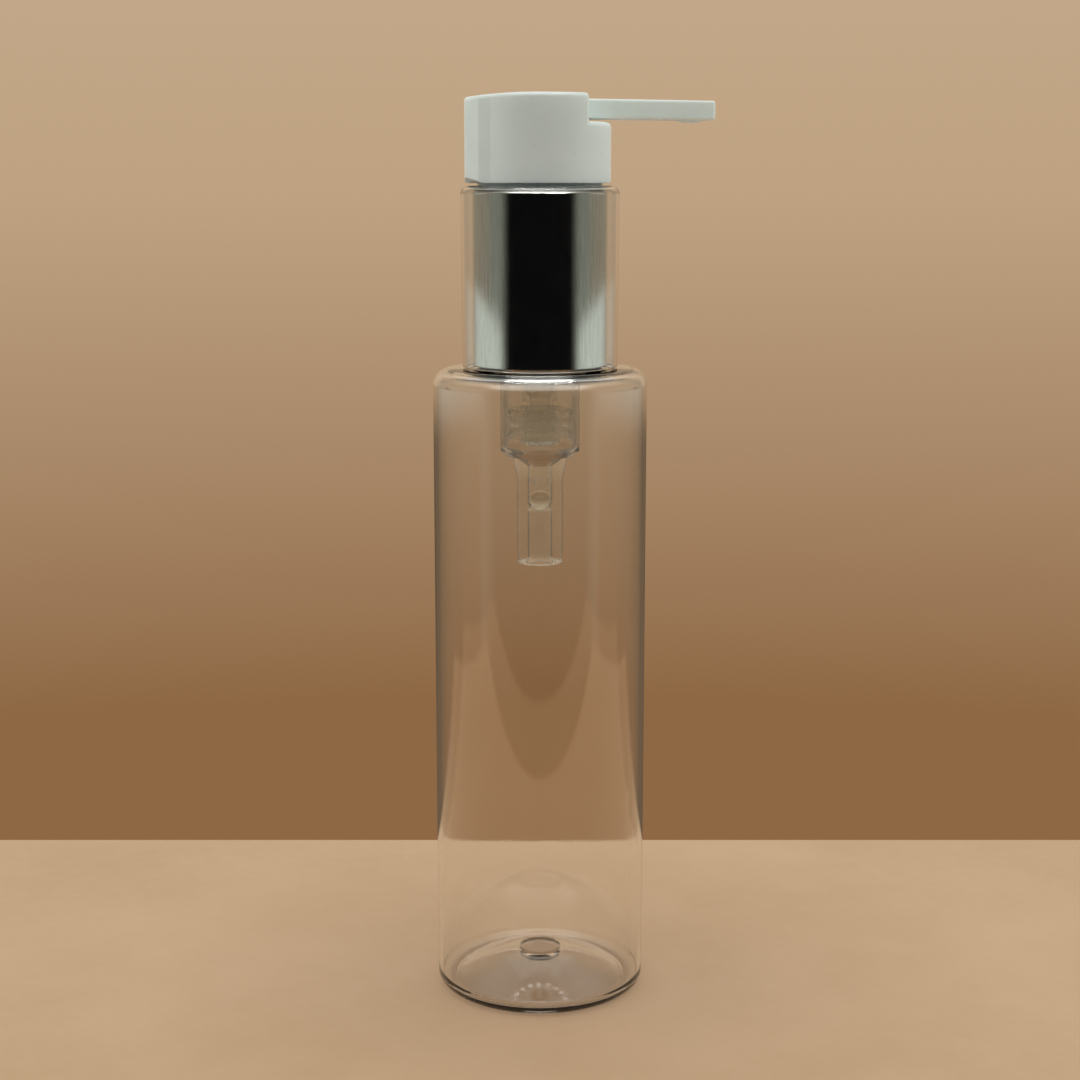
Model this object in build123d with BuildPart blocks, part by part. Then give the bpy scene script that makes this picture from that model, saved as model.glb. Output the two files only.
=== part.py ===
from build123d import *
import os
from math import sqrt

# Pump oil bottle: a clear bottle with a 24/410 screw neck and a down-lock pump.
# Millimetres, +Z up. The origin is on the bottle's axis, on the surface it stands on.
# The spout points along +X. The head is drawn at the bottom of its stroke, locked down.

# ---- driving dimensions -------------------------------------------------------------------

# bottle body
BODY_R = 21.25
WALL = 0.9
SHOULDER_Z = 127.8
SHOULDER_ROUND = 3.2
HEEL_ROUND = 2.6
INNER_ROUND = 0.8       # inside corner where the shoulder meets the neck
FOOT_R = 16.8           # inner edge of the standing ring
FOOT_WIDTH = 0.5        # slope from the ring's edge up to the dome
FOOT_Z = 0.25
INNER_FOOT = 0.6        # the inside dome starts this far outside the ring's edge
PUSH_UP = 5.4           # height of the base's dome, outside
DOME_WALL = 1.4
GATE_R = 4.2            # thick disc left by the moulding gate in the middle of the base
GATE_PROUD = 0.3        # how far the disc stands above the dome inside
GATE_DROP = 0.9         # and below it outside

# 24/410 neck and closure thread
NECK_R = 10.85
NECK_BORE_R = 9.3
NECK_TOP_Z = 145.3
NECK_FLARE = 1.2        # foot of the neck, where it runs out onto the shoulder
NECK_FLARE_Z = 0.9
NECK_FLARE_EDGE = 0.25
BEAD_Z = 134.2
BEAD_H = 1.2
BEAD_OUT = 0.75
BEAD_SLOPE = 0.3
BEAD_ROOT = 0.3         # how far the bead's root runs into the neck
EDGE = 0.3              # rounding of small moulded edges
PITCH = 3.175
THREAD_CREST_R = 11.9
THREAD_TURNS = 1.5
THREAD_START_Z = 137.9
THREAD_ROOT_W = 1.8
THREAD_CREST_W = 0.7
CLOSURE_BORE_R = 12.25
CLOSURE_CREST_R = 11.15
CLOSURE_TURNS = 1.25
CLOSURE_ROOT_W = 1.5
CLOSURE_CREST_W = 0.5
THREAD_PLAY = 1.1       # how far the closure's thread sits below the neck's
BITE = 0.1              # how far a ridge's root runs into its wall

# collar: closure, metallised sleeve and clear cover
COLLAR_Z = 128.25
COLLAR_TOP_Z = 163.5
CLOSURE_R = 12.85
CLOSURE_FOOT = 1.0      # the closure's skirt starts this far above the collar's foot
CLOSURE_TOP_Z = 149.8
CLOSURE_MOUTH_R = 9.0
CLOSURE_GAP = 0.05      # over the chaplet's flange, so that the closure can turn on it
CLOSURE_ROUND = 0.25
SLEEVE_R = 13.4
SLEEVE_WALL = 0.4
SLEEVE_FOOT = 0.35
SLEEVE_ROUND = 0.85
SLEEVE_INNER_ROUND = 0.45
SLEEVE_MOUTH_R = 12.5
COVER_R = 15.6
COVER_FOOT_R = 15.4
COVER_WALL = 0.85       # a thin shell, with air between it and the metallised sleeve
COVER_LIP = 0.75        # the lip that rests on the sleeve's top
COVER_MOUTH_R = 12.6
COVER_ROUND = 1.6
COVER_INNER_ROUND = 0.75
COVER_REST = 0.05       # gap under the lip

# pump, from the gasket on the neck down to the dip tube socket
GASKET = 1.0
GASKET_OVERHANG = 0.1
GASKET_BORE_PLAY = 0.4
FLANGE_R = 11.2
FLANGE = 1.2
HOUSING_R = 7.875
CYLINDER_R = 6.6        # bore that the piston runs in
CYLINDER_FLOOR_Z = 112.3
HOUSING_FOOT_Z = 110.5
HOUSING_CHAMFER = 1.0
TAIL_R = 4.62
TAIL_TOP_Z = 105.8
TAIL_FLARE = 0.25       # the tail widens by this, TAIL_FLARE_H above its top
TAIL_FLARE_H = 1.8
TAIL_HIP = 1.0          # and by this where it meets the housing's foot
TAIL_ROUND = 2.0
TAIL_END_Z = 88.7
TAIL_STEP = 0.12        # the tail's last stretch is slightly slimmer
TAIL_STEP_H = 2.6
SOCKET_R = 2.2          # takes a dip tube 4.4 mm across
SOCKET_END_Z = 99.3
SOCKET_LEAD = 0.5
SOCKET_LEAD_H = 1.2
CAGE_STEP = 0.02        # hair by which the cage is wider than the socket
CAGE_R = SOCKET_R + CAGE_STEP
CAGE_TOP_Z = 108.6
THROAT_R = 1.95
THROAT_LEAD = 0.6       # slope from the socket's end in to the throat
SEAT_FOOT_Z = 100.6
SEAT_TOP_Z = 101.0
BALL_R = 2.1
BALL_REST = 0.02        # hair between the ball and the throat's edge
BALL_Z = SEAT_FOOT_Z + sqrt(BALL_R**2 - THROAT_R**2) + BALL_REST
BALL_LIFT = 1.2
RIB_RING_R = 2.05       # four ribs over the ball
RIB_DEPTH = 0.9
RIB_W = 0.6
RIB_H = 1.4

# chaplet and stem wiper
CHAPLET_FLANGE_Z = NECK_TOP_Z + GASKET + FLANGE
CHAPLET_FLANGE_R = 10.6
CHAPLET_FLANGE = 1.0
CHAPLET_TOP_Z = 155.5
CHAPLET_FOOT_Z = 142.5
CHAPLET_WIDE_BORE_R = 5.4
CHAPLET_BORE_R = 4.6
CHAPLET_STEP_Z = 147.2
TOWER_R = 5.2
TOWER_FLARE = 0.6
TOWER_ROUND = 0.5
GUIDE_H = 2.4           # the tower's top stretch guides the stem
GUIDE_ROUND = 0.25
WIPER_R = 4.57
WIPER_Z = 150.6
WIPER_H = 2.4
WIPER_LIP = 0.35
WIPER_LIP_H = 0.6

# stem, piston seat and piston
STEM_R = 3.5
STEM_BORE_R = 2.3
STEM_NECK_R = 2.7
STEM_NECK_BORE_R = 1.7
STEM_BORE_FOOT_Z = 122.2
STEM_BORE_TAPER = 0.8
STEM_FOOT_Z = 113.5
STEM_SHOULDER_Z = 121.5
STEM_TOP_Z = 171.5
STEM_STOP_R = 4.9       # collar that meets the chaplet at the top of the stroke
STEM_STOP_Z = 128.4
STEM_STOP_H = 1.8
STEM_STOP_SLOPE = 0.8
PORT_Z = 118.8
PORT_R = 0.7
PLUG_FLANGE_R = 3.9
PLUG_FOOT_R = 1.6
PLUG_FLANGE_Z = 112.9
PLUG_FOOT_Z = 112.4
SHANK_TOP_Z = 117.5
SHANK_PLAY = 0.02
SHANK_CHAMFER = 0.3
PISTON_Z = 113.6
PISTON_TOP_Z = 120.3
PISTON_TUBE_R = 3.7
PISTON_WEB_Z = 116.2
PISTON_WEB_TOP_Z = 117.5
LIP_ROOT_R = 5.7        # the two lips' inner face at the web
LIP_EDGE_R = 5.9        # and at their edges
LIP_BACK_R = 6.3
LOWER_LIP_Z = 114.0
UPPER_LIP_Z = 119.9
LIP_BAND = 0.7          # the band of each lip that runs on the bore
LIP_BEVEL = 0.2
LIP_SLOPE = 0.8
RUNNING_GAP = 0.05

# spring
SPRING_R = 7.4
SPRING_WIRE = 1.1
SPRING_TURNS = 7
SPRING_PLAY = 0.05      # between the wire and each seat

# head: round, with a low blunt nose at the back
HEAD_R = 13.85
HEAD_Z = 164.0
HEAD_TOP_Z = 180.8
NOSE_X = -15.3
NOSE_CORNER = (-14.1, 4.3)
NOSE_ROOT = (-11.9, 6.8)    # inside the round, so that the nose grows out of it
NOSE_ROUND = 1.2
NOSE_CORNER_ROUND = 0.9
FACES_UP = 0.9          # a face whose normal rises more than this looks upwards
TOP_BAND = 1.0          # and belongs to the top if it lies within this of it
NOSE_HOLLOW_ROUND = 0.8 # where the nose leaves the round
TOP_FALL = ((-6.0, 0.0), (-12.8, 0.3), (-15.3, 1.05))     # where, and by how much, the top falls
FOOT_RISE = ((-13.5, 0.0), (-15.3, 1.12))
NOSE_CLEAR = 1.0        # how far the sloping cuts run on past the nose
SHELF_Z = 175.55
SHELF_X = 5.4           # the upper part of the head stops here and leaves a shelf
SHELF_ROUND = 1.0
SHELF_CORNER_ROUND = 1.1
TOP_ROUND = 0.8
HEAD_WALL = 1.35
WINDOW_PLAY = 0.05      # round the spout where it leaves the shell

# actuator core inside the head
SKIRT_R = 12.2
SKIRT_WALL = 1.0
SKIRT_Z = 150.3
SKIRT_TOP_GAP = 0.3
SKIRT_ROUND = 0.35
WEB_Z = 167.4
WEB = 1.2
CORE_R = 5.0
CORE_BORE_R = 1.8
CORE_TOP_Z = 179.2
CORE_FACE_X = 3.9
CORE_SHOULDER = 1.2     # material each side of the spout's tail
CORE_OVERLAP = 0.5      # how far that block runs into the round core
CORE_ROUND = 0.4
SOCKET_FOOT_Z = 160.5
SOCKET_PLAY = 0.03
STEM_END_GAP = 0.05
TAIL_PLAY = 0.03
TAIL_END_PLAY = 0.05
CUT_OVER = 0.1          # how far a cut runs past the face it opens

# spout
SPOUT_X = 4.3
SPOUT_TIP_X = 36.0
SPOUT_Z = 176.35
SPOUT_TOP_Z = 180.1
SPOUT_ROOT_W = 8.4
SPOUT_TIP_W = 7.4
CHANNEL_W = 3.2
CHANNEL_Z = 177.4
CHANNEL_TOP_Z = 178.4
TAIL_X = 2.0
TAIL_W = 6.0
TAIL_Z = 176.9
TAIL_TOP = 178.9
TAIL_OVERLAP = 0.5      # how far the tail runs into the spout
OUTLET_X = 31.9
OUTLET_R = 1.2
BOSS_R = 2.9
BOSS_DEPTH = 0.55
BOSS_ROOT = 0.05
TIP_ROUND = 0.9
LONG_EDGE_ROUND = 0.45


os.makedirs("parts", exist_ok=True)

# ---- helpers ------------------------------------------------------------------------------


def spin(outline, rounds=()):
    """Add a solid of revolution from closed (radius, height) points to the open part.

    rounds lists (radius, height, fillet) for the outline's corners that are rounded.
    """
    with BuildSketch(Plane.XZ) as section:
        with BuildLine():
            Polyline(*outline, close=True)
        make_face()
        for r, z, size in rounds:
            fillet(section.vertices().sort_by_distance((r, z))[0], radius=size)
    revolve(section.sketch, axis=Axis.Z)


def tube(r_out, r_in, z_low, z_high):
    """Corner points of a plain ring."""
    return [(r_in, z_low), (r_out, z_low), (r_out, z_high), (r_in, z_high)]


def thread_ridge(r_root, r_crest, w_root, w_crest, z_start, turns):
    """Add a helical ridge of trapezoid section to the open part."""
    with BuildLine() as run:
        Helix(pitch=PITCH, height=PITCH * turns, radius=r_root, center=(0, 0, z_start))
    with BuildSketch(Plane(origin=run.line @ 0, x_dir=(1, 0, 0), z_dir=run.line % 0)) as ridge:
        with BuildLine():
            Polyline(
                (0, -w_root / 2),
                (r_crest - r_root, -w_crest / 2),
                (r_crest - r_root, w_crest / 2),
                (0, w_root / 2),
                close=True,
            )
        make_face()
    sweep(ridge.sketch, path=run.line, is_frenet=True)


def finish(part, name):
    """Name a finished piece and write it to its own file."""
    part.part.label = name
    export_step(part.part, f"parts/{name}.step")


# ---- bottle -------------------------------------------------------------------------------


def dome(height, foot_r, z_foot):
    """Middle and top points of a shallow dome that starts at (foot_r, z_foot)."""
    rise = height - z_foot
    sphere_r = (foot_r**2 + rise**2) / (2 * rise)
    r_mid = foot_r / 2
    return (r_mid, height - sphere_r + sqrt(sphere_r**2 - r_mid**2)), (0, height)


with BuildPart() as bottle:
    inner_r = BODY_R - WALL
    inner_top = SHOULDER_Z - WALL
    inner_foot_r = FOOT_R + INNER_FOOT
    inner_foot_z = FOOT_Z + DOME_WALL
    outer_mid, outer_top = dome(PUSH_UP, FOOT_R, FOOT_Z)
    inner_mid, inner_dome_top = dome(PUSH_UP + DOME_WALL, inner_foot_r, inner_foot_z)
    with BuildSketch(Plane.XZ) as bottle_section:
        with BuildLine():
            ThreePointArc(outer_top, outer_mid, (FOOT_R, FOOT_Z))
            Polyline(
                (FOOT_R, FOOT_Z),
                (FOOT_R + FOOT_WIDTH, 0),
                (BODY_R, 0),
                (BODY_R, SHOULDER_Z),
                (NECK_R + NECK_FLARE, SHOULDER_Z + NECK_FLARE_EDGE),
                (NECK_R, SHOULDER_Z + NECK_FLARE_Z),
                (NECK_R, NECK_TOP_Z),
                (NECK_BORE_R, NECK_TOP_Z),
                (NECK_BORE_R, inner_top),
                (inner_r, inner_top),
                (inner_r, inner_foot_z),
                (inner_foot_r, inner_foot_z),
            )
            ThreePointArc((inner_foot_r, inner_foot_z), inner_mid, inner_dome_top)
            Line(inner_dome_top, outer_top)
        make_face()
        for r, z, size in (
            (BODY_R, 0, HEEL_ROUND),
            (BODY_R, SHOULDER_Z, SHOULDER_ROUND),
            (inner_r, inner_top, SHOULDER_ROUND - WALL),
            (inner_r, inner_foot_z, HEEL_ROUND - WALL),
            (NECK_BORE_R, inner_top, INNER_ROUND),
            (NECK_R, NECK_TOP_Z, EDGE),
            (NECK_BORE_R, NECK_TOP_Z, EDGE),
        ):
            fillet(bottle_section.vertices().sort_by_distance((r, z))[0], radius=size)
    revolve(axis=Axis.Z)
    # gate disc, under the dome and over it
    with BuildSketch(Plane.XY.offset(PUSH_UP - GATE_DROP)):
        Circle(GATE_R)
    extrude(amount=DOME_WALL + GATE_DROP + GATE_PROUD)
    # bead below the thread
    spin(
        [
            (NECK_R - BEAD_ROOT, BEAD_Z),
            (NECK_R + BEAD_OUT, BEAD_Z + BEAD_SLOPE),
            (NECK_R + BEAD_OUT, BEAD_Z + BEAD_H - BEAD_SLOPE),
            (NECK_R - BEAD_ROOT, BEAD_Z + BEAD_H),
        ]
    )
    thread_ridge(
        NECK_R - BITE, THREAD_CREST_R, THREAD_ROOT_W, THREAD_CREST_W, THREAD_START_Z, THREAD_TURNS
    )
finish(bottle, "bottle")

# ---- collar -------------------------------------------------------------------------------

with BuildPart() as threaded_closure:
    closure_foot = COLLAR_Z + CLOSURE_FOOT
    closure_ceiling = CHAPLET_FLANGE_Z + CHAPLET_FLANGE + CLOSURE_GAP
    spin(
        [
            (CLOSURE_BORE_R, closure_foot),
            (CLOSURE_R, closure_foot),
            (CLOSURE_R, CLOSURE_TOP_Z),
            (CLOSURE_MOUTH_R, CLOSURE_TOP_Z),
            (CLOSURE_MOUTH_R, closure_ceiling),
            (CLOSURE_BORE_R, closure_ceiling),
        ],
        rounds=[
            (CLOSURE_R, CLOSURE_TOP_Z, CLOSURE_ROUND),
            (CLOSURE_R, closure_foot, CLOSURE_ROUND),
        ],
    )
    thread_ridge(
        CLOSURE_BORE_R + BITE,
        CLOSURE_CREST_R,
        CLOSURE_ROOT_W,
        CLOSURE_CREST_W,
        THREAD_START_Z - THREAD_PLAY,
        CLOSURE_TURNS,
    )
finish(threaded_closure, "threaded_closure")

with BuildPart() as silver_sleeve:
    sleeve_top = COLLAR_TOP_Z - COVER_LIP - COVER_REST
    sleeve_inner_r = SLEEVE_R - SLEEVE_WALL
    spin(
        [
            (sleeve_inner_r, COLLAR_Z + SLEEVE_FOOT),
            (SLEEVE_R, COLLAR_Z + SLEEVE_FOOT),
            (SLEEVE_R, sleeve_top),
            (SLEEVE_MOUTH_R, sleeve_top),
            (SLEEVE_MOUTH_R, sleeve_top - SLEEVE_WALL),
            (sleeve_inner_r, sleeve_top - SLEEVE_WALL),
        ],
        rounds=[
            (SLEEVE_R, sleeve_top, SLEEVE_ROUND),
            (sleeve_inner_r, sleeve_top - SLEEVE_WALL, SLEEVE_INNER_ROUND),
        ],
    )
finish(silver_sleeve, "silver_sleeve")

with BuildPart() as clear_cover:
    lip_z = COLLAR_TOP_Z - COVER_LIP
    spin(
        [
            (COVER_FOOT_R - COVER_WALL, COLLAR_Z),
            (COVER_FOOT_R, COLLAR_Z),
            (COVER_R, COLLAR_TOP_Z),
            (COVER_MOUTH_R, COLLAR_TOP_Z),
            (COVER_MOUTH_R, lip_z),
            (COVER_R - COVER_WALL, lip_z),
        ],
        rounds=[
            (COVER_R, COLLAR_TOP_Z, COVER_ROUND),
            (COVER_R - COVER_WALL, lip_z, COVER_INNER_ROUND),
            (COVER_FOOT_R, COLLAR_Z, EDGE),
            (COVER_MOUTH_R, COLLAR_TOP_Z, EDGE),
        ],
    )
finish(clear_cover, "clear_cover")

# ---- pump ---------------------------------------------------------------------------------

with BuildPart() as neck_gasket:
    spin(tube(FLANGE_R + GASKET_OVERHANG, HOUSING_R + GASKET_BORE_PLAY, NECK_TOP_Z, NECK_TOP_Z + GASKET))
finish(neck_gasket, "neck_gasket")

with BuildPart() as pump_housing:
    flange_z = NECK_TOP_Z + GASKET
    tail_foot_r = TAIL_R - TAIL_STEP
    spin(
        [
            # outside, from the flange down
            (FLANGE_R, CHAPLET_FLANGE_Z),
            (FLANGE_R, flange_z),
            (HOUSING_R, flange_z),
            (HOUSING_R, HOUSING_FOOT_Z + HOUSING_CHAMFER),
            (HOUSING_R - HOUSING_CHAMFER, HOUSING_FOOT_Z),
            (TAIL_R + TAIL_HIP, HOUSING_FOOT_Z),
            (TAIL_R + TAIL_FLARE, TAIL_TOP_Z + TAIL_FLARE_H),
            (TAIL_R, TAIL_TOP_Z),
            (TAIL_R, TAIL_END_Z + TAIL_STEP_H),
            (tail_foot_r, TAIL_END_Z + TAIL_STEP_H),
            (tail_foot_r, TAIL_END_Z),
            # inside, from the dip tube socket up
            (SOCKET_R + SOCKET_LEAD, TAIL_END_Z),
            (SOCKET_R, TAIL_END_Z + SOCKET_LEAD_H),
            (SOCKET_R, SOCKET_END_Z),
            (THROAT_R, SOCKET_END_Z + THROAT_LEAD),
            (THROAT_R, SEAT_FOOT_Z),
            (CAGE_R, SEAT_TOP_Z),
            (CAGE_R, CAGE_TOP_Z),
            (CYLINDER_R, CYLINDER_FLOOR_Z),
            (CYLINDER_R, CHAPLET_FLANGE_Z),
        ],
        rounds=[
            (TAIL_R + TAIL_FLARE, TAIL_TOP_Z + TAIL_FLARE_H, TAIL_ROUND),
            (FLANGE_R, CHAPLET_FLANGE_Z, EDGE),
            (tail_foot_r, TAIL_END_Z, EDGE),
        ],
    )
    # ribs that stop the inlet ball at the top of its lift
    rib_z = BALL_Z + BALL_R + BALL_LIFT
    with PolarLocations(RIB_RING_R, 4, start_angle=45):
        with Locations((0, 0, rib_z)):
            Box(RIB_DEPTH, RIB_W, RIB_H, align=(Align.CENTER, Align.CENTER, Align.MIN))
finish(pump_housing, "pump_housing")

with BuildPart() as inlet_ball:
    with Locations((0, 0, BALL_Z)):
        Sphere(BALL_R)
finish(inlet_ball, "inlet_ball")

with BuildPart() as chaplet:
    guide_r = STEM_R + RUNNING_GAP
    chaplet_r = CYLINDER_R - RUNNING_GAP
    tower_foot_z = CHAPLET_FLANGE_Z + CHAPLET_FLANGE
    guide_z = CHAPLET_TOP_Z - GUIDE_H
    spin(
        [
            (CHAPLET_WIDE_BORE_R, CHAPLET_FOOT_Z),
            (chaplet_r, CHAPLET_FOOT_Z),
            (chaplet_r, CHAPLET_FLANGE_Z),
            (CHAPLET_FLANGE_R, CHAPLET_FLANGE_Z),
            (CHAPLET_FLANGE_R, tower_foot_z),
            (TOWER_R + TOWER_FLARE, tower_foot_z),
            (TOWER_R, tower_foot_z + TOWER_FLARE),
            (TOWER_R, CHAPLET_TOP_Z),
            (guide_r, CHAPLET_TOP_Z),
            (guide_r, guide_z),
            (CHAPLET_BORE_R, guide_z),
            (CHAPLET_BORE_R, CHAPLET_STEP_Z + CHAPLET_WIDE_BORE_R - CHAPLET_BORE_R),
            (CHAPLET_WIDE_BORE_R, CHAPLET_STEP_Z),
        ],
        rounds=[(TOWER_R, CHAPLET_TOP_Z, TOWER_ROUND), (guide_r, CHAPLET_TOP_Z, GUIDE_ROUND)],
    )
finish(chaplet, "chaplet")

with BuildPart() as stem_wiper:
    spin(
        [
            (guide_r, WIPER_Z + WIPER_LIP_H),
            (guide_r + WIPER_LIP, WIPER_Z),
            (WIPER_R, WIPER_Z),
            (WIPER_R, WIPER_Z + WIPER_H),
            (guide_r + WIPER_LIP, WIPER_Z + WIPER_H),
            (guide_r, WIPER_Z + WIPER_H - WIPER_LIP_H),
        ]
    )
finish(stem_wiper, "stem_wiper")

# ---- stem and piston ----------------------------------------------------------------------

with BuildPart() as stem:
    stop_top_z = STEM_STOP_Z + STEM_STOP_H
    spin(
        [
            (STEM_NECK_BORE_R, STEM_FOOT_Z),
            (STEM_NECK_R, STEM_FOOT_Z),
            (STEM_NECK_R, STEM_SHOULDER_Z),
            (STEM_R, STEM_SHOULDER_Z),
            (STEM_R, STEM_STOP_Z),
            (STEM_STOP_R, STEM_STOP_Z),
            (STEM_STOP_R, stop_top_z),
            (STEM_R, stop_top_z + STEM_STOP_SLOPE),
            (STEM_R, STEM_TOP_Z),
            (STEM_BORE_R, STEM_TOP_Z),
            (STEM_BORE_R, STEM_BORE_FOOT_Z + STEM_BORE_TAPER),
            (STEM_NECK_BORE_R, STEM_BORE_FOOT_Z),
        ],
        rounds=[(STEM_R, STEM_TOP_Z, EDGE)],
    )
    # ports that the piston covers when it rests on its seat
    with Locations(Location((0, 0, PORT_Z), (0, 90, 0)), Location((0, 0, PORT_Z), (90, 0, 0))):
        Cylinder(PORT_R, 2 * STEM_R, mode=Mode.SUBTRACT)
finish(stem, "stem")

with BuildPart() as piston_seat:
    shank_r = STEM_NECK_BORE_R - SHANK_PLAY
    spin(
        [
            (0, PLUG_FOOT_Z),
            (PLUG_FOOT_R, PLUG_FOOT_Z),
            (PLUG_FLANGE_R, PLUG_FLANGE_Z),
            (PLUG_FLANGE_R, STEM_FOOT_Z),
            (shank_r, STEM_FOOT_Z),
            (shank_r, SHANK_TOP_Z - SHANK_CHAMFER),
            (shank_r - SHANK_CHAMFER, SHANK_TOP_Z),
            (0, SHANK_TOP_Z),
        ]
    )
finish(piston_seat, "piston_seat")

with BuildPart() as piston:
    sleeve_r = STEM_NECK_R + RUNNING_GAP
    lip_r = CYLINDER_R - RUNNING_GAP
    lower_band_z = LOWER_LIP_Z + LIP_BEVEL
    upper_band_z = UPPER_LIP_Z - LIP_BEVEL
    spin(
        [
            (sleeve_r, PISTON_Z),
            (PISTON_TUBE_R, PISTON_Z),
            (PISTON_TUBE_R, PISTON_WEB_Z),
            (LIP_ROOT_R, PISTON_WEB_Z),
            (LIP_EDGE_R, LOWER_LIP_Z),
            (lip_r, lower_band_z),
            (lip_r, lower_band_z + LIP_BAND),
            (LIP_BACK_R, lower_band_z + LIP_BAND + LIP_SLOPE),
            (LIP_BACK_R, upper_band_z - LIP_BAND - LIP_SLOPE),
            (lip_r, upper_band_z - LIP_BAND),
            (lip_r, upper_band_z),
            (LIP_EDGE_R, UPPER_LIP_Z),
            (LIP_ROOT_R, PISTON_WEB_TOP_Z),
            (PISTON_TUBE_R, PISTON_WEB_TOP_Z),
            (PISTON_TUBE_R, PISTON_TOP_Z),
            (sleeve_r, PISTON_TOP_Z),
        ]
    )
finish(piston, "piston")

# ---- return spring ------------------------------------------------------------------------

with BuildPart() as return_spring:
    seat_z = tower_foot_z + SPRING_WIRE / 2 + SPRING_PLAY
    coil_h = WEB_Z - SPRING_WIRE / 2 - SPRING_PLAY - seat_z
    with BuildLine() as coil:
        Helix(pitch=coil_h / SPRING_TURNS, height=coil_h, radius=SPRING_R, center=(0, 0, seat_z))
    with BuildSketch(Plane(origin=coil.line @ 0, z_dir=coil.line % 0)) as wire:
        Circle(SPRING_WIRE / 2)
    sweep(wire.sketch, path=coil.line, is_frenet=True)
finish(return_spring, "return_spring")

# ---- head ---------------------------------------------------------------------------------


def head_plan(plan):
    """Draw the head's plan in a sketch: a circle with a blunt nose growing out of its back."""
    root_x, root_y = NOSE_ROOT
    corner_x, corner_y = NOSE_CORNER
    Circle(HEAD_R)
    with BuildLine() as nose:
        Polyline(
            (root_x, -root_y),
            (corner_x, -corner_y),
            (NOSE_X, 0),
            (corner_x, corner_y),
            (root_x, root_y),
            close=True,
        )
    make_face(nose.edges())
    corners = plan.vertices()
    fillet(corners.sort_by_distance((NOSE_X, 0))[0], radius=NOSE_ROUND)
    for side in (-1, 1):
        corners = plan.vertices()
        fillet(corners.sort_by_distance((corner_x, side * corner_y))[0], radius=NOSE_CORNER_ROUND)
        corners = plan.vertices()
        fillet(corners.sort_by_distance((root_x, side * root_y))[0], radius=NOSE_HOLLOW_ROUND)


with BuildPart() as head_shell:
    # lower part, with a soft rim that shows along the shelf
    with BuildSketch(Plane.XY.offset(HEAD_Z)) as lower_plan:
        head_plan(lower_plan)
    extrude(amount=SHELF_Z - HEAD_Z)
    fillet(head_shell.faces().sort_by(Axis.Z)[-1].edges(), radius=SHELF_ROUND)
    # upper part, which stops short of the front
    with BuildSketch(Plane.XY.offset(SHELF_Z - SHELF_ROUND)) as upper_plan:
        head_plan(upper_plan)
        with Locations((SHELF_X, 0)):
            Rectangle(HEAD_R, 3 * HEAD_R, align=(Align.MIN, Align.CENTER), mode=Mode.SUBTRACT)
        fillet(upper_plan.vertices().group_by(Axis.X)[-1], radius=SHELF_CORNER_ROUND)
    extrude(amount=HEAD_TOP_Z - SHELF_Z + SHELF_ROUND)
    # the top curves down towards the nose, and the foot slopes up to it
    with BuildSketch(Plane.XZ.offset(-HEAD_R)):
        clear_x = NOSE_X - NOSE_CLEAR
        top_start, top_bend, top_end = [(x, HEAD_TOP_Z - fall) for x, fall in TOP_FALL]
        with BuildLine() as top_cut:
            gentle = TangentArc(top_start, top_bend, tangent=(-1, 0))
            steep = TangentArc(top_bend, top_end, tangent=gentle % 1)
            run_out = Line(top_end, steep @ 1 + (steep % 1) * NOSE_CLEAR)
            Polyline(
                run_out @ 1,
                (clear_x, HEAD_TOP_Z + CUT_OVER),
                (top_start[0], HEAD_TOP_Z + CUT_OVER),
                top_start,
            )
        make_face(top_cut.edges())
        foot_start, foot_end = [(x, HEAD_Z + rise) for x, rise in FOOT_RISE]
        with BuildLine() as foot_cut:
            rise = Line(foot_start, foot_end)
            Polyline(
                foot_end,
                rise @ 1 + (rise % 1) * NOSE_CLEAR,
                (clear_x, HEAD_Z - CUT_OVER),
                (foot_start[0], HEAD_Z - CUT_OVER),
                foot_start,
            )
        make_face(foot_cut.edges())
    extrude(amount=2 * HEAD_R, mode=Mode.SUBTRACT)
    # soft outer edge round the top
    top_faces = [
        f
        for f in head_shell.faces()
        if f.normal_at().Z > FACES_UP and f.center().Z > HEAD_TOP_Z - TOP_BAND
    ]
    rim = [e for e in ShapeList(top_faces).edges() if sum(e in f.edges() for f in top_faces) == 1]
    fillet(rim, radius=TOP_ROUND)
    # hollow: a round room for the core, and a higher one behind the spout
    with BuildSketch(Plane.XY.offset(HEAD_Z)):
        Circle(HEAD_R - HEAD_WALL)
    extrude(amount=SHELF_Z - HEAD_WALL - HEAD_Z, mode=Mode.SUBTRACT)
    with BuildSketch(Plane.XY.offset(SHELF_Z - HEAD_WALL)):
        Circle(HEAD_R - HEAD_WALL)
        with Locations((SHELF_X - HEAD_WALL, 0)):
            Rectangle(HEAD_R, 3 * HEAD_R, align=(Align.MIN, Align.CENTER), mode=Mode.SUBTRACT)
    extrude(amount=HEAD_TOP_Z - SHELF_Z, mode=Mode.SUBTRACT)
    # window for the spout
    with BuildSketch(Plane.YZ.offset(SHELF_X - HEAD_WALL - CUT_OVER)):
        with Locations((0, (SPOUT_Z + SPOUT_TOP_Z) / 2)):
            Rectangle(SPOUT_ROOT_W + 2 * WINDOW_PLAY, SPOUT_TOP_Z - SPOUT_Z + 2 * WINDOW_PLAY)
    extrude(amount=HEAD_WALL + 2 * CUT_OVER, mode=Mode.SUBTRACT)
finish(head_shell, "head_shell")

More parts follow.
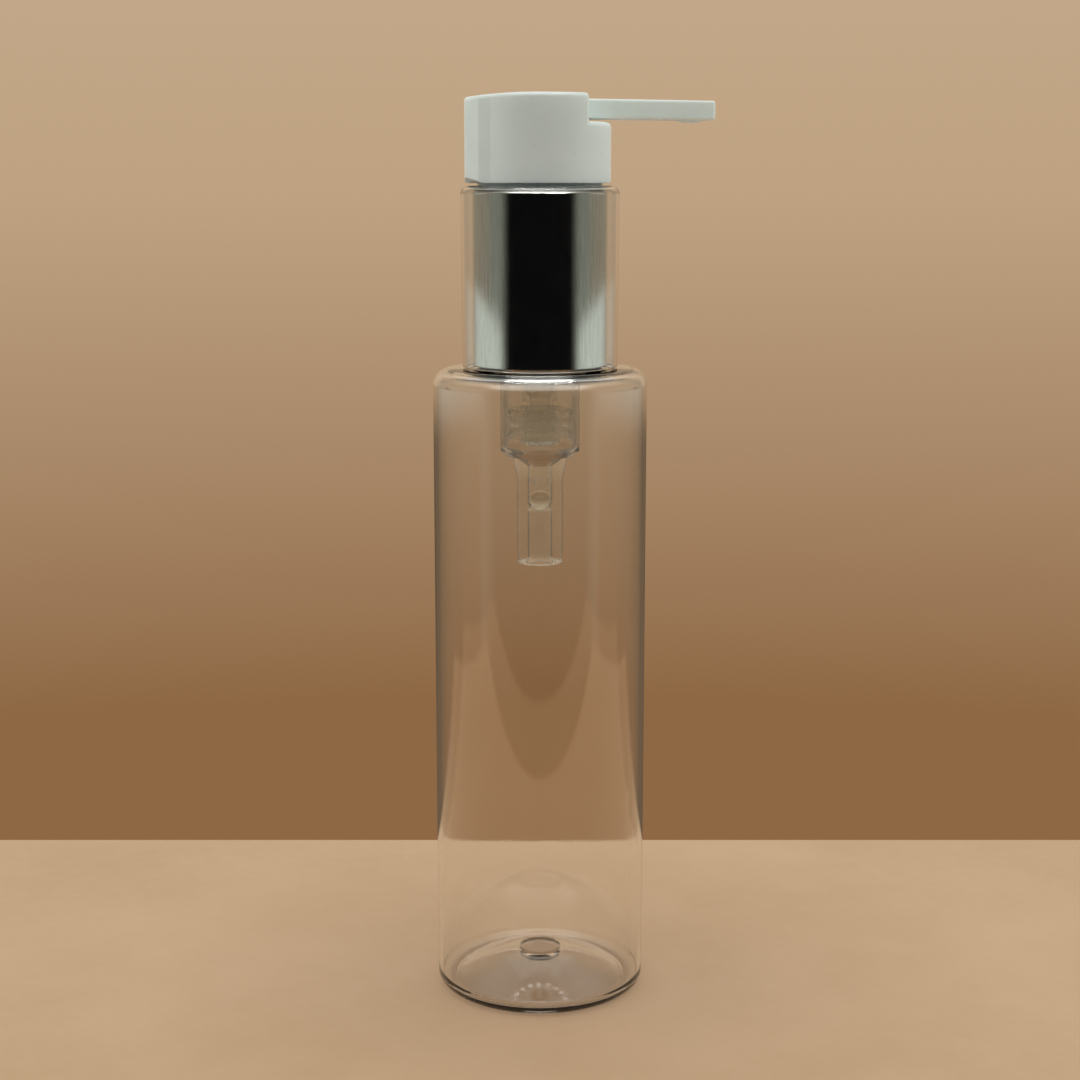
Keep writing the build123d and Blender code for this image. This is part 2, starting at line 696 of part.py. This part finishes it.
with BuildPart() as actuator_core:
    skirt_top = SHELF_Z - HEAD_WALL - SKIRT_TOP_GAP
    skirt_inner_r = SKIRT_R - SKIRT_WALL
    socket_r = STEM_R + SOCKET_PLAY
    # skirt, web and stem socket in one
    spin(
        [
            (skirt_inner_r, SKIRT_Z),
            (SKIRT_R, SKIRT_Z),
            (SKIRT_R, skirt_top),
            (skirt_inner_r, skirt_top),
            (skirt_inner_r, WEB_Z + WEB),
            (CORE_R, WEB_Z + WEB),
            (CORE_R, CORE_TOP_Z),
            (0, CORE_TOP_Z),
            (0, CHANNEL_TOP_Z),
            (CORE_BORE_R, CHANNEL_TOP_Z),
            (CORE_BORE_R, STEM_TOP_Z + STEM_END_GAP),
            (socket_r, STEM_TOP_Z + STEM_END_GAP),
            (socket_r, SOCKET_FOOT_Z),
            (CORE_R, SOCKET_FOOT_Z),
            (CORE_R, WEB_Z),
            (skirt_inner_r, WEB_Z),
        ],
        rounds=[(SKIRT_R, SKIRT_Z, SKIRT_ROUND), (CORE_R, SOCKET_FOOT_Z, CORE_ROUND)],
    )
    # flat face that the spout plugs into
    with BuildSketch(Plane.XY.offset(skirt_top)):
        Rectangle(CORE_FACE_X, TAIL_W + 2 * CORE_SHOULDER, align=(Align.MIN, Align.CENTER))
        Circle(CORE_R - CORE_OVERLAP, mode=Mode.SUBTRACT)
    extrude(amount=CORE_TOP_Z - skirt_top)
    with BuildSketch(Plane.XY.offset(skirt_top)):
        with Locations((CORE_FACE_X, 0)):
            Rectangle(CORE_R, 2 * CORE_R, align=(Align.MIN, Align.CENTER))
    extrude(amount=CORE_TOP_Z - skirt_top, mode=Mode.SUBTRACT)
    with BuildSketch(Plane.YZ.offset(TAIL_X - TAIL_END_PLAY)):
        with Locations((0, (TAIL_Z + TAIL_TOP) / 2)):
            Rectangle(TAIL_W + 2 * TAIL_PLAY, TAIL_TOP - TAIL_Z + 2 * TAIL_PLAY)
    extrude(amount=CORE_FACE_X - TAIL_X + CUT_OVER, mode=Mode.SUBTRACT)
    with BuildSketch(Plane.YZ):
        with Locations((0, (CHANNEL_Z + CHANNEL_TOP_Z) / 2)):
            Rectangle(CHANNEL_W, CHANNEL_TOP_Z - CHANNEL_Z)
    extrude(amount=TAIL_X, mode=Mode.SUBTRACT)
finish(actuator_core, "actuator_core")

with BuildPart() as spout:
    with BuildSketch(Plane.XY.offset(SPOUT_Z)):
        with BuildLine() as plan:
            Polyline(
                (SPOUT_X, -SPOUT_ROOT_W / 2),
                (SPOUT_TIP_X, -SPOUT_TIP_W / 2),
                (SPOUT_TIP_X, SPOUT_TIP_W / 2),
                (SPOUT_X, SPOUT_ROOT_W / 2),
                close=True,
            )
        make_face()
    extrude(amount=SPOUT_TOP_Z - SPOUT_Z)
    fillet(spout.edges().filter_by(Axis.Z).group_by(Axis.X)[-1], radius=TIP_ROUND)
    long_edges = spout.faces().filter_by(Axis.Z).edges() - spout.edges().group_by(Axis.X)[0]
    fillet(long_edges, radius=LONG_EDGE_ROUND)
    # tail that plugs into the core
    with BuildSketch(Plane.YZ.offset(TAIL_X)):
        with Locations((0, (TAIL_Z + TAIL_TOP) / 2)):
            Rectangle(TAIL_W, TAIL_TOP - TAIL_Z)
    extrude(amount=SPOUT_X - TAIL_X + TAIL_OVERLAP)
    # shallow boss round the outlet
    boss_sphere_r = (BOSS_R**2 + BOSS_DEPTH**2) / (2 * BOSS_DEPTH)
    reach = 3 * boss_sphere_r
    with BuildSketch(Plane.XZ):
        with Locations((OUTLET_X, SPOUT_Z - BOSS_DEPTH + boss_sphere_r)):
            Circle(boss_sphere_r)
        with Locations((OUTLET_X, SPOUT_Z + BOSS_ROOT)):
            Rectangle(reach, reach, align=(Align.CENTER, Align.MIN), mode=Mode.SUBTRACT)
        with Locations((OUTLET_X, SPOUT_Z)):
            Rectangle(reach, reach, align=(Align.MAX, Align.CENTER), mode=Mode.SUBTRACT)
    revolve(axis=Axis((OUTLET_X, 0, 0), (0, 0, 1)))
    # channel, and the outlet facing down
    with BuildSketch(Plane.YZ.offset(TAIL_X)):
        with Locations((0, (CHANNEL_Z + CHANNEL_TOP_Z) / 2)):
            Rectangle(CHANNEL_W, CHANNEL_TOP_Z - CHANNEL_Z)
    extrude(amount=OUTLET_X + OUTLET_R - TAIL_X, mode=Mode.SUBTRACT)
    with BuildSketch(Plane.XY.offset(CHANNEL_Z)):
        with Locations((OUTLET_X, 0)):
            Circle(OUTLET_R)
    extrude(amount=-(CHANNEL_Z - SPOUT_Z + BOSS_DEPTH), mode=Mode.SUBTRACT)
finish(spout, "spout")
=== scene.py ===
import math

import bmesh
import bpy
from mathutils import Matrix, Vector


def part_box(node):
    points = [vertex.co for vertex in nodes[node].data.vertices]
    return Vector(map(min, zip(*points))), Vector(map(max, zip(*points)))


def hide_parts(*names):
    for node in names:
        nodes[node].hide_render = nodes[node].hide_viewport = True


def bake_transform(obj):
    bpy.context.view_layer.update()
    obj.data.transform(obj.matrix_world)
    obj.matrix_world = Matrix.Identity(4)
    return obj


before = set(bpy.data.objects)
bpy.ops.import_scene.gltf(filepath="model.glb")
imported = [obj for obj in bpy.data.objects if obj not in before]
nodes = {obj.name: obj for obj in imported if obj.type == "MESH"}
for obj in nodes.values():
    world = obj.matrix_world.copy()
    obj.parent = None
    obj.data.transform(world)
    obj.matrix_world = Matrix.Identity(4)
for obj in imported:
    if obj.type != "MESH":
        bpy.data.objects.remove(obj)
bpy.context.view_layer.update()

scene = bpy.context.scene

# ---- colour and node helpers --------------------------------------------------------------


def srgb(r, g, b):
    """Linear colour, with alpha, from 0-255 display values."""
    return tuple(
        c / 12.92 if c <= 0.04045 else ((c + 0.055) / 1.055) ** 2.4 for c in (r / 255, g / 255, b / 255)
    ) + (1.0,)


class Graph:
    """A material's node tree with one Principled shader."""

    def __init__(self, name, **sockets):
        self.material = bpy.data.materials.new(name)
        self.material.use_nodes = True
        self.tree = self.material.node_tree
        self.tree.nodes.clear()
        self.out = self.node("OutputMaterial")
        self.shader = self.node("BsdfPrincipled")
        self.link(self.shader.outputs["BSDF"], self.out.inputs["Surface"])
        self.set(**sockets)
        self.coords = self.node("TexCoord").outputs["Object"]

    def node(self, kind, **props):
        n = self.tree.nodes.new("ShaderNode" + kind)
        for key, value in props.items():
            setattr(n, key, value)
        return n

    def link(self, a, b):
        self.tree.links.new(a, b)

    def set(self, **sockets):
        for key, value in sockets.items():
            self.shader.inputs[key.replace("_", " ")].default_value = value

    def stretch(self, scale):
        """Object coordinates scaled along each axis."""
        m = self.node("Mapping")
        m.inputs["Scale"].default_value = scale
        self.link(self.coords, m.inputs["Vector"])
        return m.outputs["Vector"]

    def noise(self, scale, detail=3.0, roughness=0.5, stretch=(1, 1, 1)):
        """Noise with features about 1/scale metres across."""
        n = self.node("TexNoise")
        n.inputs["Scale"].default_value = scale
        n.inputs["Detail"].default_value = detail
        n.inputs["Roughness"].default_value = roughness
        self.link(self.coords if stretch == (1, 1, 1) else self.stretch(stretch), n.inputs["Vector"])
        return n.outputs["Fac"]

    def remap(self, value, low, high, source=(0.3, 0.7)):
        """The value spread from its source range over low to high."""
        m = self.node("MapRange", clamp=True)
        for key, number in (
            ("From Min", source[0]),
            ("From Max", source[1]),
            ("To Min", low),
            ("To Max", high),
        ):
            m.inputs[key].default_value = number
        self.link(value, m.inputs["Value"])
        return m.outputs["Result"]

    def ramp(self, value, *stops):
        """A colour blended between (position, colour) stops."""
        r = self.node("ValToRGB")
        band = r.color_ramp
        while len(band.elements) < len(stops):
            band.elements.new(0.5)
        for element, (position, colour) in zip(band.elements, stops):
            element.position = position
            element.color = colour
        self.link(value, r.inputs["Fac"])
        return r.outputs["Color"]

    def bump(self, value, distance, under=None):
        """Surface relief of the given depth in metres, on top of the relief under it."""
        b = self.node("Bump")
        b.inputs["Distance"].default_value = distance
        self.link(value, b.inputs["Height"])
        if under is not None:
            self.link(under, b.inputs["Normal"])
        return b.outputs["Normal"]

    def into(self, value, socket):
        """Drive one of the shader's sockets."""
        self.link(value, self.shader.inputs[socket])

    def clear_to_light(self):
        """Let light straight through, so that a clear piece casts no hard dark shadow."""
        path = self.node("LightPath")
        through = self.node("BsdfTransparent")
        mix = self.node("MixShader")
        self.link(path.outputs["Is Shadow Ray"], mix.inputs[0])
        self.link(self.shader.outputs["BSDF"], mix.inputs[1])
        self.link(through.outputs["BSDF"], mix.inputs[2])
        self.link(mix.outputs["Shader"], self.out.inputs["Surface"])


def paint(graph, *names):
    """Give the named CAD nodes this material alone."""
    for name in names:
        data = nodes[name].data
        data.materials.clear()
        data.materials.append(graph.material)


# ---- materials ----------------------------------------------------------------------------


def clear_plastic(name, ior, tint, wave, rough):
    """Clear moulded plastic: slightly uneven walls, with a few faint rub marks in the gloss."""
    g = Graph(name, Base_Color=tint, Transmission_Weight=1.0, IOR=ior)
    rub = g.noise(900, detail=6, roughness=0.7, stretch=(1, 1, 0.12))
    g.into(g.remap(rub, rough[0], rough[1], (0.45, 0.8)), "Roughness")
    slow = g.bump(g.noise(70, detail=1, stretch=(1, 1, 0.35)), wave)
    g.into(g.bump(g.noise(2600, detail=2), 2e-6, under=slow), "Normal")
    g.clear_to_light()
    return g


pet = clear_plastic("clear_pet", 1.57, (0.985, 0.98, 0.97, 1), 3e-5, (0.0, 0.05))
cover = clear_plastic("clear_acrylic", 1.5, (0.97, 0.965, 0.95, 1), 1e-5, (0.0, 0.06))

silver = Graph("vacuum_metallised", Metallic=1.0)
grain = silver.noise(3600, detail=4, roughness=0.7, stretch=(1, 1, 0.05))
silver.into(silver.ramp(grain, (0.3, (0.70, 0.71, 0.69, 1)), (0.7, (0.95, 0.96, 0.93, 1))), "Base Color")
silver.into(silver.remap(grain, 0.03, 0.08), "Roughness")
specks = silver.noise(9000, detail=2)
silver.into(silver.bump(specks, 6e-7, under=silver.bump(grain, 5e-7)), "Normal")

head = Graph(
    "head_white",
    IOR=1.5,
    Subsurface_Weight=0.35,
    Subsurface_Radius=(1.0, 1.0, 0.8),
    Subsurface_Scale=0.0022,
)
cloud = head.noise(120, detail=3)
head.into(head.ramp(cloud, (0.35, (0.765, 0.82, 0.79, 1)), (0.65, (0.805, 0.86, 0.83, 1))), "Base Color")
head.into(head.remap(head.noise(700, detail=5, roughness=0.65), 0.26, 0.40), "Roughness")
sink = head.bump(head.noise(140, detail=1), 2.5e-5)
head.into(head.bump(head.noise(3200, detail=3), 4e-6, under=sink), "Normal")

# the pump's plastics bend light less than the real ones, which stands in for their haze
HAZY_IOR = 1.12

natural = Graph("natural_pp", IOR=HAZY_IOR, Transmission_Weight=0.92)
haze = natural.noise(260, detail=4)
natural.into(
    natural.ramp(haze, (0.35, (0.90, 0.90, 0.87, 1)), (0.65, (0.96, 0.96, 0.93, 1))), "Base Color"
)
natural.into(natural.remap(natural.noise(700, detail=4), 0.20, 0.26), "Roughness")
natural.into(natural.bump(natural.noise(160, detail=1), 1e-6), "Normal")
natural.clear_to_light()

white_pp = Graph("white_pp", IOR=1.5, Subsurface_Weight=0.2, Subsurface_Scale=0.001)
tone = white_pp.noise(200, detail=3)
white_pp.into(
    white_pp.ramp(tone, (0.35, (0.74, 0.75, 0.71, 1)), (0.65, (0.80, 0.81, 0.77, 1))), "Base Color"
)
white_pp.into(white_pp.remap(white_pp.noise(900, detail=4), 0.35, 0.52), "Roughness")
white_pp.into(white_pp.bump(white_pp.noise(3000, detail=3), 6e-6), "Normal")

seal = Graph("soft_pe", IOR=HAZY_IOR, Transmission_Weight=0.94)
seal.into(
    seal.ramp(seal.noise(240, detail=3), (0.35, (0.86, 0.87, 0.86, 1)), (0.65, (0.92, 0.93, 0.91, 1))),
    "Base Color",
)
seal.into(seal.remap(seal.noise(1100, detail=4), 0.24, 0.32), "Roughness")
seal.into(seal.bump(seal.noise(160, detail=1), 1e-6), "Normal")
seal.clear_to_light()

foam = Graph("pe_foam", IOR=1.45, Subsurface_Weight=0.2, Subsurface_Scale=0.0008)
cells = foam.node("TexVoronoi")
cells.inputs["Scale"].default_value = 4200
foam.link(foam.coords, cells.inputs["Vector"])
# the colour darkens towards each cell's middle, where the relief dips: painted shade in the pores
foam.into(
    foam.ramp(cells.outputs["Distance"], (0.0, (0.66, 0.66, 0.63, 1)), (0.6, (0.80, 0.80, 0.77, 1))),
    "Base Color",
)
foam.into(foam.remap(foam.noise(1800, detail=3), 0.75, 0.92), "Roughness")
foam.into(foam.bump(cells.outputs["Distance"], 4e-5), "Normal")

steel = Graph("spring_steel", Metallic=1.0)
drawn = steel.noise(3800, detail=4, stretch=(1, 1, 6))
steel.into(steel.ramp(drawn, (0.3, (0.46, 0.46, 0.45, 1)), (0.7, (0.66, 0.66, 0.64, 1))), "Base Color")
steel.into(steel.remap(drawn, 0.22, 0.42), "Roughness")
steel.into(steel.bump(drawn, 6e-6), "Normal")

ball = Graph("ball_glass", Base_Color=(0.93, 0.97, 0.95, 1), Transmission_Weight=1.0, IOR=1.52)
ball.into(ball.remap(ball.noise(2500, detail=4), 0.0, 0.05), "Roughness")
ball.into(ball.bump(ball.noise(900, detail=2), 3e-6), "Normal")
ball.clear_to_light()

paint(pet, "bottle")
paint(cover, "clear_cover")
paint(silver, "silver_sleeve")
paint(head, "head_shell", "spout", "actuator_core")
paint(white_pp, "threaded_closure")
paint(natural, "pump_housing", "chaplet", "stem")
paint(seal, "stem_wiper", "piston", "piston_seat")
paint(foam, "neck_gasket")
paint(ball, "inlet_ball")

# ---- return spring ------------------------------------------------------------------------

spring_low, spring_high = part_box("return_spring")
WIRE_R = 0.00055
SPRING_R = spring_high.x - WIRE_R
CLOSED_TURNS = 0.95     # each end: the wire lies on itself
ACTIVE_TURNS = 5.2
CLOSED_PITCH = 2.06     # rise of a closed turn, in wire radii: a hair over touching
END_SHARE = 0.82        # the cut ends narrow to this share of the wire
END_STEP = 0.18         # over this many wire radii
RING = 14               # points round the wire
STEPS = 36              # rings in a turn
SLOPE_STEP = 0.01       # turns to each side, over which the slope is taken

closed_rise = CLOSED_TURNS * CLOSED_PITCH * WIRE_R
active_rise = spring_high.z - spring_low.z - 2 * WIRE_R - 2 * closed_rise


def coil_height(turn):
    """Height of the wire's centre above the first point, after that many turns."""
    if turn <= CLOSED_TURNS:
        return closed_rise * turn / CLOSED_TURNS
    if turn <= CLOSED_TURNS + ACTIVE_TURNS:
        return closed_rise + active_rise * (turn - CLOSED_TURNS) / ACTIVE_TURNS
    return closed_rise + active_rise + closed_rise * (turn - CLOSED_TURNS - ACTIVE_TURNS) / CLOSED_TURNS


def make_spring():
    """The coil as one closed tube of wire."""
    total = 2 * CLOSED_TURNS + ACTIVE_TURNS
    count = int(total * STEPS)
    bm = bmesh.new()
    rings = []
    for i in range(count + 1):
        turn = total * i / count
        angle = 2 * math.pi * turn
        out = Vector((math.cos(angle), math.sin(angle), 0))
        along = Vector((-math.sin(angle), math.cos(angle), 0))
        ahead_height = coil_height(min(turn + SLOPE_STEP, total))
        behind_height = coil_height(max(turn - SLOPE_STEP, 0))
        slope = (ahead_height - behind_height) / (2 * SLOPE_STEP)
        along = (along * 2 * math.pi * SPRING_R + Vector((0, 0, slope))).normalized()
        side = along.cross(out)
        centre = out * SPRING_R + Vector((0, 0, spring_low.z + WIRE_R + coil_height(turn)))
        # the ends are cut with a soft edge
        cuts = ((1.0, 0.0),)
        if i == 0:
            cuts = ((END_SHARE, 0.0), (1.0, END_STEP))
        if i == count:
            cuts = ((1.0, -END_STEP), (END_SHARE, 0.0))
        for share, step in cuts:
            middle = centre + along * WIRE_R * step
            ring = [
                bm.verts.new(middle + WIRE_R * share * (math.cos(a) * out + math.sin(a) * side))
                for a in (2 * math.pi * k / RING for k in range(RING))
            ]
            rings.append(ring)
    for low, high in zip(rings, rings[1:]):
        for k in range(RING):
            bm.faces.new((low[k], low[(k + 1) % RING], high[(k + 1) % RING], high[k]))
    bm.faces.new(rings[0][::-1])
    bm.faces.new(rings[-1])
    bmesh.ops.recalc_face_normals(bm, faces=bm.faces)
    mesh = bpy.data.meshes.new("spring_wire")
    bm.to_mesh(mesh)
    bm.free()
    for face in mesh.polygons:
        face.use_smooth = len(face.vertices) == 4
    mesh.materials.append(steel.material)
    spring = bpy.data.objects.new("spring_wire", mesh)
    scene.collection.objects.link(spring)
    return spring


spring = make_spring()
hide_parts("return_spring")
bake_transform(spring)

# ---- camera -------------------------------------------------------------------------------

TURN = math.radians(20)          # the spout points right and away from the camera
CAMERA_AWAY = 0.38315            # from the bottle's axis, level
CAMERA_UP = 0.16266              # above the floor
PITCH = math.radians(10.282)     # the camera looks down by this
LENS = 64.296                    # mm
SENSOR = 36                      # mm across
NEAREST = 0.01                   # nothing closer than this is drawn

ahead = Vector((math.sin(TURN), math.cos(TURN), 0))
right = Vector((math.cos(TURN), -math.sin(TURN), 0))
camera_data = bpy.data.cameras.new("camera")
camera_data.lens = LENS
camera_data.sensor_width = SENSOR
camera_data.clip_start = NEAREST
camera = bpy.data.objects.new("camera", camera_data)
scene.collection.objects.link(camera)
camera.location = -ahead * CAMERA_AWAY + Vector((0, 0, CAMERA_UP))
look = ahead * math.cos(PITCH) - Vector((0, 0, math.sin(PITCH)))
camera.rotation_euler = look.to_track_quat("-Z", "Y").to_euler()
scene.camera = camera

# ---- floor --------------------------------------------------------------------------------

# the floor reaches this far from the bottle's axis, seen from the camera
FLOOR_BACK = 0.086
FLOOR_FRONT = 0.18
FLOOR_SIDE = 0.30
corners = [
    ahead * along + right * across
    for along, across in (
        (FLOOR_BACK, -FLOOR_SIDE),
        (-FLOOR_FRONT, -FLOOR_SIDE),
        (-FLOOR_FRONT, FLOOR_SIDE),
        (FLOOR_BACK, FLOOR_SIDE),
    )
]
floor_mesh = bpy.data.meshes.new("floor")
floor_mesh.from_pydata([tuple(c) for c in corners], [], [(0, 1, 2, 3)])
floor = bpy.data.objects.new("floor", floor_mesh)
scene.collection.objects.link(floor)
paper = Graph("peach_paper", Specular_IOR_Level=0.2)
pulp = paper.noise(14, detail=5, roughness=0.6)
paper.into(paper.ramp(pulp, (0.3, srgb(196, 160, 124)), (0.7, srgb(206, 170, 136))), "Base Color")
paper.into(paper.remap(paper.noise(300, detail=4), 0.7, 0.9), "Roughness")
paper.into(paper.bump(paper.noise(1400, detail=5, roughness=0.7), 2e-5), "Normal")
floor_mesh.materials.append(paper.material)

# ---- studio -------------------------------------------------------------------------------

# a ring of soft round lamps overhead, all aimed at the foot of the bottle
RING_LAMPS = 20
RING_R = 0.50
RING_Z = 1.60
LAMP_SIZE = 0.09
LAMP_POWER = 0.52
for i in range(RING_LAMPS):
    angle = 2 * math.pi * i / RING_LAMPS
    data = bpy.data.lights.new("ring_lamp", "AREA")
    data.shape = "DISK"
    data.size = LAMP_SIZE
    data.energy = LAMP_POWER
    lamp = bpy.data.objects.new("ring_lamp", data)
    scene.collection.objects.link(lamp)
    lamp.location = (RING_R * math.cos(angle), RING_R * math.sin(angle), RING_Z)
    lamp.rotation_euler = (-lamp.location).to_track_quat("-Z", "Y").to_euler()

# plain warm backdrop: deep below the horizon, pale above it, by angle in degrees
BACKDROP = ((-15.0, (142, 104, 68)), (0.0, (190, 162, 130)), (30.0, (214, 190, 162)))
RAMP_LOW, RAMP_HIGH = -20.0, 31.0       # elevations at the colour ramp's two ends

world = bpy.data.worlds.new("studio")
scene.world = world
world.use_nodes = True
tree = world.node_tree
tree.nodes.clear()


def wnode(kind, **props):
    """A node in the world's tree."""
    n = tree.nodes.new("ShaderNode" + kind)
    for key, value in props.items():
        setattr(n, key, value)
    return n


def wmath(operation, *values, clamp=False):
    """A math node on sockets and plain numbers."""
    n = wnode("Math", operation=operation, use_clamp=clamp)
    for i, value in enumerate(values):
        if isinstance(value, (int, float)):
            n.inputs[i].default_value = value
        else:
            tree.links.new(value, n.inputs[i])
    return n.outputs[0]


def wmix(factor, a, b):
    """Colour a where the factor is 0, and b where it is 1."""
    n = wnode("Mix", data_type="RGBA")
    for socket, value in ((n.inputs[0], factor), (n.inputs[6], a), (n.inputs[7], b)):
        if isinstance(value, (int, float, tuple)):
            socket.default_value = value
        else:
            tree.links.new(value, socket)
    return n.outputs[2]


def wstep(value, low, high):
    """A smooth step from 0 to 1, between low and high."""
    n = wnode("MapRange", clamp=True, interpolation_type="SMOOTHSTEP")
    n.inputs["From Min"].default_value = low
    n.inputs["From Max"].default_value = high
    tree.links.new(value, n.inputs["Value"])
    return n.outputs["Result"]


direction = wnode("TexCoord").outputs["Generated"]
split = wnode("SeparateXYZ")
tree.links.new(direction, split.inputs[0])
dx, dy, dz = split.outputs
elevation = wmath("DEGREES", wmath("ARCSINE", dz))

fraction = wmath("DIVIDE", wmath("SUBTRACT", elevation, RAMP_LOW), RAMP_HIGH - RAMP_LOW, clamp=True)
band = wnode("ValToRGB")
while len(band.color_ramp.elements) < len(BACKDROP):
    band.color_ramp.elements.new(0.5)
for element, (angle, colour) in zip(band.color_ramp.elements, BACKDROP):
    element.position = (angle - RAMP_LOW) / (RAMP_HIGH - RAMP_LOW)
    element.color = srgb(*colour)
tree.links.new(fraction, band.inputs["Fac"])

# what glossy surfaces mirror: dark behind the camera, grey to the sides, light above
LEAST_LEVEL = 1e-4      # keeps the division safe straight up and straight down
level = wmath("SQRT", wmath("ADD", wmath("MULTIPLY", dx, dx), wmath("MULTIPLY", dy, dy)))
facing = wmath(
    "DIVIDE",
    wmath("ADD", wmath("MULTIPLY", dx, -ahead.x), wmath("MULTIPLY", dy, -ahead.y)),
    wmath("MAXIMUM", level, LEAST_LEVEL),
)
away = wmath("DEGREES", wmath("ARCCOSINE", facing))
below = wmath("MULTIPLY", elevation, -1)

DARK = (0.002, 0.002, 0.0025, 1)
SIDE = (0.19, 0.20, 0.17, 1)
FAR_SIDE = (0.25, 0.22, 0.17, 1)
LOW_SIDE = (0.54, 0.58, 0.53, 1)
UNDER = (0.15, 0.10, 0.06, 1)
CEILING = (0.55, 0.56, 0.54, 1)
PANEL = (2.6, 2.6, 2.5, 1)

# where each one blends in, in degrees: round from the camera's side, below the horizon or above it
SIDE_ROUND = (50, 72)
FAR_ROUND = (78, 110)
BACKDROP_ROUND = (135, 155)
PATCH_ROUND = (56, 76)
PATCH_END = (120, 150)
PATCH_BELOW = (3.85, 4.25)
PATCH_FROM = 60
PATCH_SLANT = 0.016     # the patch starts this much higher for each degree further round than that
UNDER_BELOW = (5.5, 7.5)
UNDER_ROUND = (60, 70)
CEILING_ABOVE = (28, 50)
PANEL_ABOVE = (24, 34)
PANEL_END = (50, 75)

room = wmix(wstep(away, *SIDE_ROUND), DARK, SIDE)
room = wmix(wstep(away, *FAR_ROUND), room, FAR_SIDE)
room = wmix(wstep(away, *BACKDROP_ROUND), room, band.outputs["Color"])
# a bright patch low on each side
slant = wmath("MULTIPLY", wmath("SUBTRACT", away, PATCH_FROM), PATCH_SLANT)
patch = wmath("MULTIPLY", wstep(wmath("ADD", below, slant), *PATCH_BELOW), wstep(away, *PATCH_ROUND))
patch = wmath("MULTIPLY", patch, wmath("SUBTRACT", 1.0, wstep(away, *PATCH_END)))
room = wmix(patch, room, LOW_SIDE)
under = wmath("MULTIPLY", wstep(below, *UNDER_BELOW), wstep(away, *UNDER_ROUND))
room = wmix(under, room, UNDER)
room = wmix(wstep(elevation, *CEILING_ABOVE), room, CEILING)
# a bright panel high in front, which shows as a white arc on the sleeve's rolled edge
panel = wmath("MULTIPLY", wstep(elevation, *PANEL_ABOVE), wmath("SUBTRACT", 1.0, wstep(away, *PANEL_END)))
room = wmix(panel, room, PANEL)

# what lights dull surfaces: neutral, dimmer in front and above than from the sides
FILL_FRONT = (0.31, 0.35, 0.35, 1)
FILL_SIDE = (1.06, 1.17, 1.16, 1)
FILL_TOP = (0.46, 0.48, 0.47, 1)
FILL_ROUND = (30, 80)
FILL_ABOVE = (20, 55)
fill = wmix(wstep(away, *FILL_ROUND), FILL_FRONT, FILL_SIDE)
fill = wmix(wstep(elevation, *FILL_ABOVE), fill, FILL_TOP)

# the kind of ray picks between them; the camera and clear pieces see the plain backdrop
BOUNCED = 0.5           # a ray has bounced once its depth is over this
path = wnode("LightPath")
mirrored = wmath("GREATER_THAN", path.outputs["Glossy Depth"], BOUNCED)
scattered = wmath("GREATER_THAN", path.outputs["Diffuse Depth"], BOUNCED)
background = wnode("Background")
colour = wmix(mirrored, band.outputs["Color"], room)
tree.links.new(wmix(scattered, colour, fill), background.inputs["Color"])
tree.links.new(background.outputs[0], wnode("OutputWorld").inputs["Surface"])

scene.view_settings.view_transform = "Standard"
CLEAR_BOUNCES = 24      # a ray crosses many clear walls
scene.cycles.max_bounces = CLEAR_BOUNCES
scene.cycles.transmission_bounces = CLEAR_BOUNCES
scene.cycles.glossy_bounces = 8
scene.cycles.diffuse_bounces = 4
scene.cycles.transparent_max_bounces = CLEAR_BOUNCES
scene.cycles.sample_clamp_indirect = 3.0
# clear pieces already let light straight through, so bent light would count it twice
scene.cycles.caustics_refractive = False
scene.cycles.caustics_reflective = False
